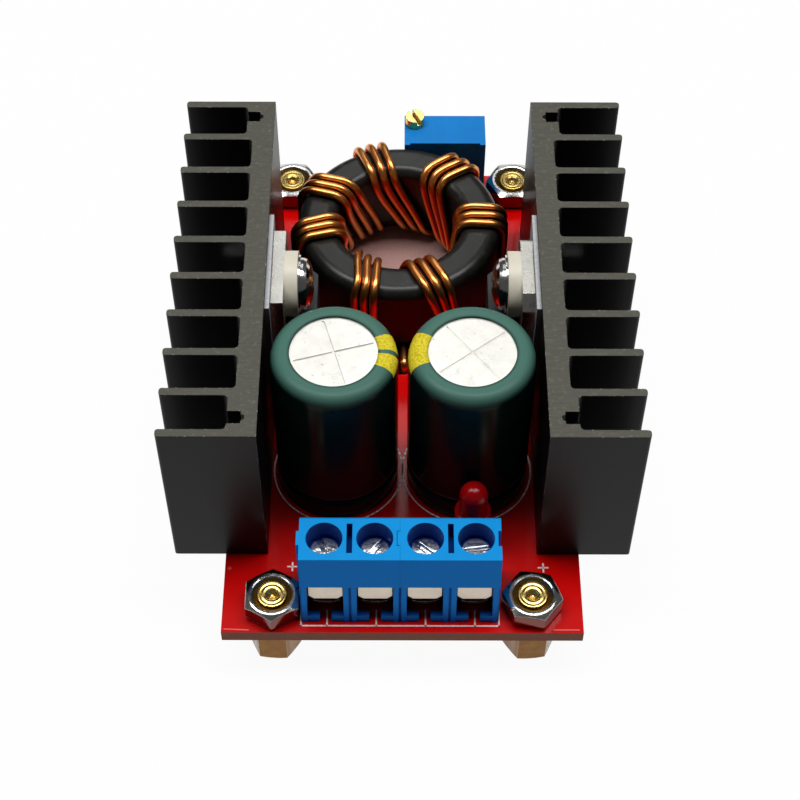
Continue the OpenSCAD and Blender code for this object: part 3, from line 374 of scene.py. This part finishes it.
def terminal_blue():
    """Matte blue moulding, with painted shade: navy in its wells and low in its wire mouths, a deeper blue
    on upright faces, and darker in deep corners.
    """
    g = Graph("terminal_blue")
    cloud = g.noise(300, 3.0)
    fine = g.noise(2200, 2.0)
    # Painted shade: faces low in the moulding, in the wells and wire mouths, go navy, and upright faces
    # get a deeper blue than the top.
    high = g.between(g.xyz()[2], TOP, TOP + TERMINAL_DEEP)
    top = g.mix(g.between(cloud, 0.35, 0.7), (0.004, 0.255, 0.64), (0.004, 0.235, 0.6))
    level = g.mix(high, (0.0005, 0.025, 0.15), top)
    side = g.mix(high, (0.001, 0.085, 0.35), (0.002, 0.2, 0.66))
    blue = g.mix(g.between(g.rise(), 0.3, 0.7), side, level)
    return g.surface(
        # Painted shade: darker navy in deep corners.
        Base_Color=g.mix(g.open_air(4 * MM, 0.3, 0.8), (0.0005, 0.045, 0.3), blue),
        Roughness=g.between(fine, 0.25, 0.75, 0.4, 0.5),
        Normal=g.bump(fine, 0.06, 0.02 * MM, g.rounded(0.12 * MM)),
        Specular_IOR_Level=0.05,
    )


def core_coat():
    """Black coat of the choke core, with slight orange peel, scuffs and dust."""
    g = Graph("core_coat")
    peel = g.noise(900, 3.0)
    dust = g.between(g.noise(4200, 2.0), 0.68, 0.75)
    scuff = g.between(g.noise(650, 6.0, 0.8), 0.6, 0.72)
    colour = g.mix(g.between(peel, 0.3, 0.7), (0.007, 0.007, 0.0063), (0.012, 0.012, 0.0107))
    colour = g.mix(g.times(scuff, 0.4), colour, (0.13, 0.126, 0.11))
    return g.surface(
        Base_Color=g.mix(g.times(dust, 0.2), colour, (0.12, 0.12, 0.11)),
        Roughness=g.between(peel, 0.2, 0.8, 0.26, 0.38),
        Normal=g.bump(peel, 0.12, 0.06 * MM, g.rounded(0.4 * MM, 8)),
        Specular_IOR_Level=0.32,
    )


def copper():
    """Enamelled wire, with painted shade in deep corners."""
    g = Graph("copper")
    stain = g.noise(500, 3.0)
    bare = g.mix(g.between(stain, 0.3, 0.75), (0.88, 0.38, 0.11), (0.75, 0.28, 0.07))
    return g.surface(
        # Painted shade: the copper turns dark brown where it is closed in.
        Base_Color=g.mix(g.open_air(8 * MM, 0.1, 0.5), (0.12, 0.035, 0.008), bare),
        Metallic=1.0,
        Roughness=g.between(g.noise(3000, 2.0), 0.2, 0.8, 0.28, 0.36),
    )


def can_metal():
    """Bare aluminium disc with fine scratches, scuffs and specks."""
    g = Graph("can_metal")
    lines = g.noise(1.0, 3.0, 0.7, g.stretch(600, 9000, 600))
    stain = g.noise(700, 4.0)
    speck = g.between(g.noise(2400, 2.0, 0.6), 0.68, 0.74)
    scuff = g.between(g.noise(520, 6.0, 0.8), 0.57, 0.7)
    bare = g.mix(g.between(stain, 0.35, 0.75), (0.78, 0.77, 0.715), (0.66, 0.65, 0.61))
    bare = g.mix(g.times(scuff, 0.55), bare, (0.42, 0.42, 0.4))
    return g.surface(
        Base_Color=g.mix(g.times(speck, 0.7), bare, (0.3, 0.3, 0.28)),
        Metallic=1.0,
        Roughness=g.between(lines, 0.2, 0.8, 0.28, 0.46),
        Normal=g.bump(lines, 0.1, 0.02 * MM, g.rounded(0.05 * MM)),
    )


def sleeve_green(name, node, facing, blocks):
    """Dark green shrink sleeve, paler on its shoulder where it faces up, as painted light, with yellow
    blocks printed there.

    Each block lies between two angles in degrees, counted from the direction that the print faces.
    """
    g = Graph(name)
    at = centre(node)
    x, y, z = g.xyz()
    dx, dy = g.minus(x, at.x), g.minus(y, at.y)
    cos, sin = math.cos(math.radians(facing)), math.sin(math.radians(facing))
    ahead = g.plus(g.times(dx, cos), g.times(dy, sin))
    aside = g.minus(g.times(dy, cos), g.times(dx, sin))
    angle = g.math("ARCTAN2", aside, ahead)
    shoulder_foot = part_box(node)[1].z - CAP_SHOULDER
    on_shoulder = g.between(z, shoulder_foot - 0.1 * MM, shoulder_foot + 0.2 * MM)
    printed_here = 0.0
    for start, end in blocks:
        inside = g.times(g.math("GREATER_THAN", angle, math.radians(start)),
                         g.math("LESS_THAN", angle, math.radians(end)))
        printed_here = g.math("ADD", printed_here, inside, clamp=True)
    wave = g.noise(260, 2.0)
    soft = g.rounded(0.6 * MM, 8)
    # Painted light: where the shoulder faces up it gets a paler green than the near-black sides.
    shoulder = g.times(g.between(g.xyz(soft)[2], 0.3, 0.98), g.math("GREATER_THAN", z, at.z))
    green = g.mix(g.between(wave, 0.3, 0.7), (0.0012, 0.006, 0.005), (0.002, 0.01, 0.008))
    green = g.mix(shoulder, green, (0.06, 0.145, 0.115))
    speckle = g.between(g.noise(4500, 2.0), 0.35, 0.6)
    yellow = g.mix(speckle, (0.45, 0.36, 0.015), (0.68, 0.57, 0.035))
    return g.surface(
        Base_Color=g.mix(g.times(printed_here, on_shoulder), green, yellow),
        Roughness=g.between(wave, 0.2, 0.8, 0.2, 0.28),
        Normal=g.bump(wave, 0.06, 0.06 * MM, soft),
        Specular_IOR_Level=0.08,
    )


def lamp_red():
    """Tinted resin of the indicator lamp."""
    g = Graph("lamp_red")
    cloud = g.noise(500, 2.0)
    return g.surface(
        Base_Color=g.mix(cloud, (0.2, 0.001, 0.002), (0.3, 0.002, 0.003)),
        Roughness=g.between(cloud, 0.3, 0.7, 0.1, 0.18),
        Transmission_Weight=0.1,
        IOR=1.5,
        Specular_IOR_Level=0.18,
        Normal=g.bump(cloud, 0.03, 0.02 * MM, g.rounded(0.3 * MM)),
    )


# The finish of each material slot of the record; the sleeves have their own
FINISHES = {
    "solder_mask": solder_mask(),
    "brass": post_brass(),
    "nickel": metal("nickel", (0.72, 0.71, 0.69), 0.14),
    "black_anodised": black_anodised(),
    "tinned": metal("tinned", (0.62, 0.61, 0.56), 0.3, bump=0.1),
    "pad_grey": pad_grey(),
    "bush_ivory": plastic("bush_ivory", (0.62, 0.58, 0.47), 0.45, 0.9),
    "moulding_black": plastic("moulding_black", (0.014, 0.014, 0.015), 0.5, 0.7, bump=0.25),
    "core_coat": core_coat(),
    "copper": copper(),
    "can_metal": can_metal(),
    "seal_rubber": plastic("seal_rubber", (0.02, 0.02, 0.02), 0.7),
    "terminal_blue": terminal_blue(),
    "trimmer_blue": plastic("trimmer_blue", (0.006, 0.18, 0.52), 0.4, 0.9, Specular_IOR_Level=0.12),
    "lamp_red": lamp_red(),
    "ceramic_tan": plastic("ceramic_tan", (0.42, 0.3, 0.18), 0.45),
    "solder": metal("solder", (0.74, 0.74, 0.73), 0.22, grain=1200, bump=0.2),
}

# Nodes with a finish of their own
OWN_FINISH = {
    "nuts": nut_nickel(),
    "trimmer_screw": metal("screw_brass", (0.78, 0.58, 0.2), 0.24, bump=0.05),
    "capacitor_left_sleeve": sleeve_green(
        "sleeve_left", "capacitor_left_sleeve", 0, [(-22, -3), (2.5, 23.5)]),
    "capacitor_right_sleeve": sleeve_green(
        "sleeve_right", "capacitor_right_sleeve", 180, [(-25.5, 18)]),
}
TERMINAL_POLES = 4
clamp_screw, pressure_leaf = screw_nickel(), leaf_tin()
for pole in range(1, TERMINAL_POLES + 1):
    OWN_FINISH["terminal_screw_%d" % pole] = clamp_screw
    OWN_FINISH["terminal_leaf_%d" % pole] = pressure_leaf

# Edges sharper than this many degrees stay sharp
CAD_SHARP, WIRE_SHARP = 28, 60


def finish(piece, material):
    """Gives a piece one material all over."""
    piece.data.materials.clear()
    piece.data.materials.append(material)


def smooth(piece, sharp):
    """Smooth shading, but for edges sharper than that many degrees."""
    mesh = piece.data
    mesh.shade_smooth()
    mesh.set_sharp_from_angle(angle=math.radians(sharp))


for part in frame["record"]["subparts"]:
    piece = nodes[part["node"]]
    finish(piece, OWN_FINISH.get(part["node"]) or FINISHES[part["material_slot"]])
    smooth(piece, CAD_SHARP)


def mesh_piece(name, points, faces, material):
    """A new piece of the base, from points in the shared frame."""
    mesh = bpy.data.meshes.new(name)
    mesh.from_pydata(points, [], faces)
    mesh.validate()
    piece = bpy.data.objects.new(name, mesh)
    scene.collection.objects.link(piece)
    finish(piece, material)
    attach(piece, BASE)
    return piece


# Choke winding: the same turns as the CAD strands, drawn as smooth wire

CORE_ID = 14.3 * MM
CORE_EDGE = 1.2 * MM
WIRE_D = 0.9 * MM
WIRE_OFF = WIRE_D / 2 + 0.1 * MM
WIRE_SIDES = 16
# Degrees round the core at which each turn passes the outer foot, outer top, inner top and inner foot
TURN_LOW = [-109, -164, -205, -250, -306, -350, -417]
TURN_OVER = [-109, -167, -206, -252.5, -311, -361, -428]
TURN_IN = [-119, -169, -212, -254, -304, -361, -432]
TURN_UNDER = [-153, -200, -241, -288, -330, -412, -458]
# Millimetres between the strands at those places
STEP_OUT = [1.1, 1.2, 1.3, 1.5, 1.5, 1.3, 1.3]
STEP_IN, STEP_UNDER = 1.12, 1.25
END_ANGLE, END_STEP = -452, 1.1
END_REACH, END_BEND = 2.2 * MM, 0.6 * MM
TAIL = 1.5 * MM
# Points along a side with its bend, half a bend and the bend down into the board
SIDE_STEPS, HALF_BEND_STEPS, END_BEND_STEPS = 16, 4, 6

core_lo, core_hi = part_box("choke_core")
core_at = (core_lo + core_hi) / 2
core_ro, core_ri = (core_hi.x - core_lo.x) / 2, CORE_ID / 2
wire_ro, wire_ri = core_ro + WIRE_OFF, core_ri - WIRE_OFF
bend_r = CORE_EDGE + WIRE_OFF
half_bend = bend_r * math.pi / 4
outer_edge, inner_edge = core_ro - CORE_EDGE, core_ri + CORE_EDGE
low_edge, top_edge = core_lo.z + CORE_EDGE, core_hi.z - CORE_EDGE
# Radius and height of the middles of the core's rounded edges
EDGES = [(outer_edge, low_edge), (outer_edge, top_edge), (inner_edge, top_edge), (inner_edge, low_edge)]
INNER_FOOT = 3


def polar(r, degrees, z):
    """A point at a radius and angle round the core's axis."""
    a = math.radians(degrees)
    return Vector((core_at.x + r * math.cos(a), core_at.y + r * math.sin(a), z))


def spread(side, step, r):
    """Degrees between one strand and the middle one, for a step in millimetres at that radius."""
    return side * math.degrees(step * MM / r)


def edge_angles(side):
    """Angles at which a strand passes the four edges, turn after turn."""
    angles = []
    for low, over, inner, under, step in zip(TURN_LOW, TURN_OVER, TURN_IN, TURN_UNDER, STEP_OUT):
        out = spread(side, step, wire_ro)
        angles += [low + out, over + out, inner + spread(side, STEP_IN, wire_ri),
                   under + spread(side, STEP_UNDER, wire_ri)]
    return angles


def edge_pair(i):
    """Edge i, counted on through all turns, and the next one."""
    return EDGES[i % len(EDGES)], EDGES[(i + 1) % len(EDGES)]


def side_run(i):
    """Straight length of the wire between the bends at edge i and the next one."""
    (r0, z0), (r1, z1) = edge_pair(i)
    return math.hypot(r1 - r0, z1 - z0)


def section(i, length):
    """Radius and height of the wire at a length from the middle of the bend at edge i."""
    (r0, z0), (r1, z1) = edge_pair(i)
    run = side_run(i)
    share = min(max((length - half_bend) / run, 0), 1)
    turn = math.radians(90 * i) + (length - half_bend - share * run) / bend_r
    r, z = r0 + (r1 - r0) * share, z0 + (z1 - z0) * share
    return r + bend_r * math.cos(turn), z + bend_r * math.sin(turn)


def eased(t, a, b, leave, arrive):
    """A value that goes from a to b as t goes from 0 to 1, with the given slopes at its ends."""
    return ((2 * t**3 - 3 * t**2 + 1) * a + (t**3 - 2 * t**2 + t) * leave
            + (3 * t**2 - 2 * t**3) * b + (t**3 - t**2) * arrive)


def strand_route(side):
    """Points along one strand; side is -1, 0 or 1 across the three."""
    angles = edge_angles(side)
    spans = [2 * half_bend + side_run(i) for i in range(len(angles) - 1)]
    rates = [(b - a) / span for a, b, span in zip(angles, angles[1:], spans)]
    slopes = [2 * a * b / (a + b) if a * b > 0 else 0 for a, b in zip(rates, rates[1:])]
    slopes = [rates[0]] + slopes + [0]
    foot = board_lo.z - TAIL
    points = [polar(wire_ro, angles[0], foot)]
    for i, span in enumerate(spans):
        for k in range(SIDE_STEPS):
            t = k / SIDE_STEPS
            r, z = section(i, t * span)
            angle = eased(t, angles[i], angles[i + 1], slopes[i] * span, slopes[i + 1] * span)
            if i > 0 or z > low_edge:
                points.append(polar(r, angle, z))
    for k in range(HALF_BEND_STEPS + 1):
        r, z = section(INNER_FOOT, half_bend * k / HALF_BEND_STEPS)
        points.append(polar(r, angles[-1], z))
    end_r = core_ro + END_REACH
    end_angle = END_ANGLE + spread(side, END_STEP, end_r)
    bend_z = core_lo.z - WIRE_OFF - END_BEND
    for k in range(END_BEND_STEPS + 1):
        t = math.radians(90 * k / END_BEND_STEPS)
        r = end_r - END_BEND + END_BEND * math.sin(t)
        points.append(polar(r, end_angle, bend_z + END_BEND * math.cos(t)))
    return points + [polar(end_r, end_angle, foot)]


def tube(points, radius, sides):
    """Points and faces of a round tube along a route, with closed ends."""
    last = len(points) - 1
    ahead = [(points[min(i + 1, last)] - points[max(i - 1, 0)]).normalized() for i in range(len(points))]
    across = ahead[0].orthogonal().normalized()
    verts, faces = [], []
    for p, t in zip(points, ahead):
        across = (across - t * across.dot(t)).normalized()
        up = t.cross(across)
        for j in range(sides):
            a = 2 * math.pi * j / sides
            verts.append(p + radius * (math.cos(a) * across + math.sin(a) * up))
    for i in range(last):
        for j in range(sides):
            k = (j + 1) % sides
            faces.append((i * sides + j, i * sides + k, (i + 1) * sides + k, (i + 1) * sides + j))
    faces.append(tuple(range(sides))[::-1])
    faces.append(tuple(last * sides + j for j in range(sides)))
    return verts, faces


for name, side in (("a", -1), ("b", 0), ("c", 1)):
    verts, faces = tube(strand_route(side), WIRE_D / 2, WIRE_SIDES)
    wire = mesh_piece("winding_" + name, verts, faces, FINISHES["copper"])
    smooth(wire, WIRE_SHARP)
    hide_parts("choke_strand_" + name)


# Board print: places in millimetres, across from the middle and back from the front edge

PRINT_UP = 0.02 * MM
PRINT_W, TRACE_W = 0.17 * MM, 0.12 * MM
TERM_LEFT, TERM_RIGHT, TERM_LINE, TERM_BACK = -10.45, 9.95, 0.8, 8.1
TICK_LEFT, TICK_PITCH, TICK_BACK = -7.77, 5.08, 2.6
CAP_X, CAP_D, CAP_PRINT_R = 6.98, 20.45, 7.0
PLUS_MARKS, PLUS_SIZE = [(-11.56, 7.92), (14.82, 7.84)], 0.95
CROSS_AT, CROSS_SIZE = (-18.18, 7.71), 0.34
TRACE_LEFT = [(-18.33, 0.39), (-15.83, 0.28)]
TRACE_RIGHT = [(15.57, 0.35), (18.18, 0.35)]
PALE_R, PALE_FRONT = 8.4, 49.4
CORE_X, CORE_D = core_at.x / MM, (core_at.y - FRONT) / MM


def on_board(x, d):
    """A printed point in the shared frame."""
    return Vector((x * MM, FRONT + d * MM, TOP + PRINT_UP))


def line(route, width=PRINT_W):
    """Points and faces of a flat printed line."""
    points = [on_board(x, d) for x, d in route]
    verts, faces = [], []
    for a, b in zip(points, points[1:]):
        ahead = (b - a).normalized()
        aside = Vector((-ahead.y, ahead.x, 0)) * width / 2
        n = len(verts)
        verts += [a - aside - ahead * width / 2, b - aside + ahead * width / 2,
                  b + aside + ahead * width / 2, a + aside - ahead * width / 2]
        faces.append((n, n + 1, n + 2, n + 3))
    return verts, faces


def arc(x, d, r, start, end, steps):
    """Route along part of a circle, between two angles in radians."""
    angles = [start + (end - start) * i / steps for i in range(steps + 1)]
    return [(x + r * math.cos(a), d + r * math.sin(a)) for a in angles]


def ring(x, d, r):
    """Route round a whole circle."""
    return arc(x, d, r, 0, 2 * math.pi, 72)


def plus_mark(x, d, size):
    """The two strokes of a plus."""
    return [[(x - size / 2, d), (x + size / 2, d)], [(x, d - size / 2), (x, d + size / 2)]]


def segment(x, d, r, front):
    """Points and faces of a filled printed disc, cut off straight at d = front."""
    start = math.asin((front - d) / r)
    points = [on_board(*at) for at in arc(x, d, r, start, math.pi - start, 48)]
    return points, [tuple(range(len(points)))]


def printed(name, shapes, material):
    """One flat piece of print, from points and faces of its shapes."""
    verts, faces = [], []
    for shape_verts, shape_faces in shapes:
        faces += [tuple(i + len(verts) for i in face) for face in shape_faces]
        verts += shape_verts
    mesh_piece(name, verts, faces, material)


outlines = [[(TERM_LEFT, TERM_BACK), (TERM_LEFT, TERM_LINE),
             (TERM_RIGHT, TERM_LINE), (TERM_RIGHT, TERM_BACK)]]
for pole in range(TERMINAL_POLES):
    x = TICK_LEFT + TICK_PITCH * pole
    outlines.append([(x, TERM_LINE), (x, TICK_BACK)])
for side in (-1, 1):
    outlines.append(ring(side * CAP_X, CAP_D, CAP_PRINT_R))
for x, d in PLUS_MARKS:
    outlines += plus_mark(x, d, PLUS_SIZE)
white_ink = ink("white_ink", (0.62, 0.45, 0.43), (0.82, 0.76, 0.74))
printed("board_print", [line(route) for route in outlines], white_ink)

pale_ink = ink("pale_ink", (0.3, 0.16, 0.14), (0.38, 0.22, 0.2))
printed("print_block", [segment(CORE_X, CORE_D, PALE_R, PALE_FRONT)], pale_ink)

traces = [TRACE_LEFT, TRACE_RIGHT] + plus_mark(*CROSS_AT, CROSS_SIZE)
trace_red = ink("trace_red", (0.62, 0.07, 0.06), (0.75, 0.13, 0.11))
printed("trace_edges", [line(route, TRACE_W) for route in traces], trace_red)


# Camera, as fitted to the photograph

CAMERA_AT = Vector((-0.573, -125.888, 170.379)) * MM
PITCH, YAW, ROLL = math.radians(53.444), math.radians(0.025), math.radians(0.143)
FOCAL_PX, CENTRE_X_PX, CENTRE_Y_PX = 1823.882, 397.713, 414.426
IMAGE_PX = 800
SENSOR = 36.0
NEAR, FAR = 0.01, 10

ahead = Vector((math.sin(YAW) * math.cos(PITCH), math.cos(YAW) * math.cos(PITCH), -math.sin(PITCH)))
level_right = Vector((math.cos(YAW), -math.sin(YAW), 0))
level_up = level_right.cross(ahead)
right = level_right * math.cos(ROLL) + level_up * math.sin(ROLL)
up = level_up * math.cos(ROLL) - level_right * math.sin(ROLL)
lens = bpy.data.cameras.new("camera")
lens.sensor_width = SENSOR
lens.lens = FOCAL_PX * SENSOR / IMAGE_PX
lens.shift_x = (IMAGE_PX / 2 - CENTRE_X_PX) / IMAGE_PX
lens.shift_y = (CENTRE_Y_PX - IMAGE_PX / 2) / IMAGE_PX
lens.clip_start, lens.clip_end = NEAR, FAR
camera = bpy.data.objects.new("camera", lens)
scene.collection.objects.link(camera)
camera.matrix_world = Matrix.Translation(CAMERA_AT) @ Matrix((right, up, -ahead)).transposed().to_4x4()
scene.camera = camera


# Floor, surroundings and light

FLOOR_HALF = 3.0
FLOOR_GLOW = 0.95
AIM = Vector((0, 0, 15 * MM))


def floor_finish():
    """Pale studio floor that reads white to the camera and in mirrors, and keeps the object's shadow."""
    g = Graph("floor")
    pale = g.mix(g.noise(3, 2.0), (0.72, 0.72, 0.72), (0.78, 0.78, 0.78))
    diffuse = g.node("ShaderNodeBsdfDiffuse", {"Color": pale}).outputs[0]
    glow = g.node("ShaderNodeEmission", {"Color": (1, 1, 1), "Strength": 1.0}).outputs[0]
    ray = g.node("ShaderNodeLightPath").outputs
    mirrored = g.math("MAXIMUM", ray["Is Glossy Ray"], ray["Is Transmission Ray"])
    seen = g.math("MAXIMUM", ray["Is Camera Ray"], mirrored)
    return g.end(g.node("ShaderNodeMixShader", {0: g.times(seen, FLOOR_GLOW), 1: diffuse, 2: glow}))


floor_mesh = bpy.data.meshes.new("floor")
floor_corners = [(x * FLOOR_HALF, y * FLOOR_HALF, 0) for x, y in ((-1, -1), (1, -1), (1, 1), (-1, 1))]
floor_mesh.from_pydata(floor_corners, [], [(0, 1, 2, 3)])
floor = bpy.data.objects.new("floor", floor_mesh)
scene.collection.objects.link(floor)
finish(floor, floor_finish())

world = bpy.data.worlds.new("studio")
scene.world = world
world.use_nodes = True
room = world.node_tree.nodes["Background"].inputs
room["Color"].default_value = (0.95, 0.97, 1.0, 1)
room["Strength"].default_value = 0.08


def softbox(name, place, size, power):
    """A flat lamp of that size in metres, pointed at the object."""
    data = bpy.data.lights.new(name, "AREA")
    data.shape = "RECTANGLE"
    data.size, data.size_y = size
    data.energy = power
    lamp = bpy.data.objects.new(name, data)
    scene.collection.objects.link(lamp)
    lamp.location = place
    lamp.rotation_mode = "QUATERNION"
    lamp.rotation_quaternion = (AIM - Vector(place)).to_track_quat("-Z", "Y")


softbox("rear_panel", place=(0, 0.406, 0.443), size=(0.06, 0.24), power=0.2)
softbox("top_softbox", place=(0, 0.09, 0.69), size=(0.9, 0.23), power=6.5)

scene.view_settings.view_transform = "Standard"
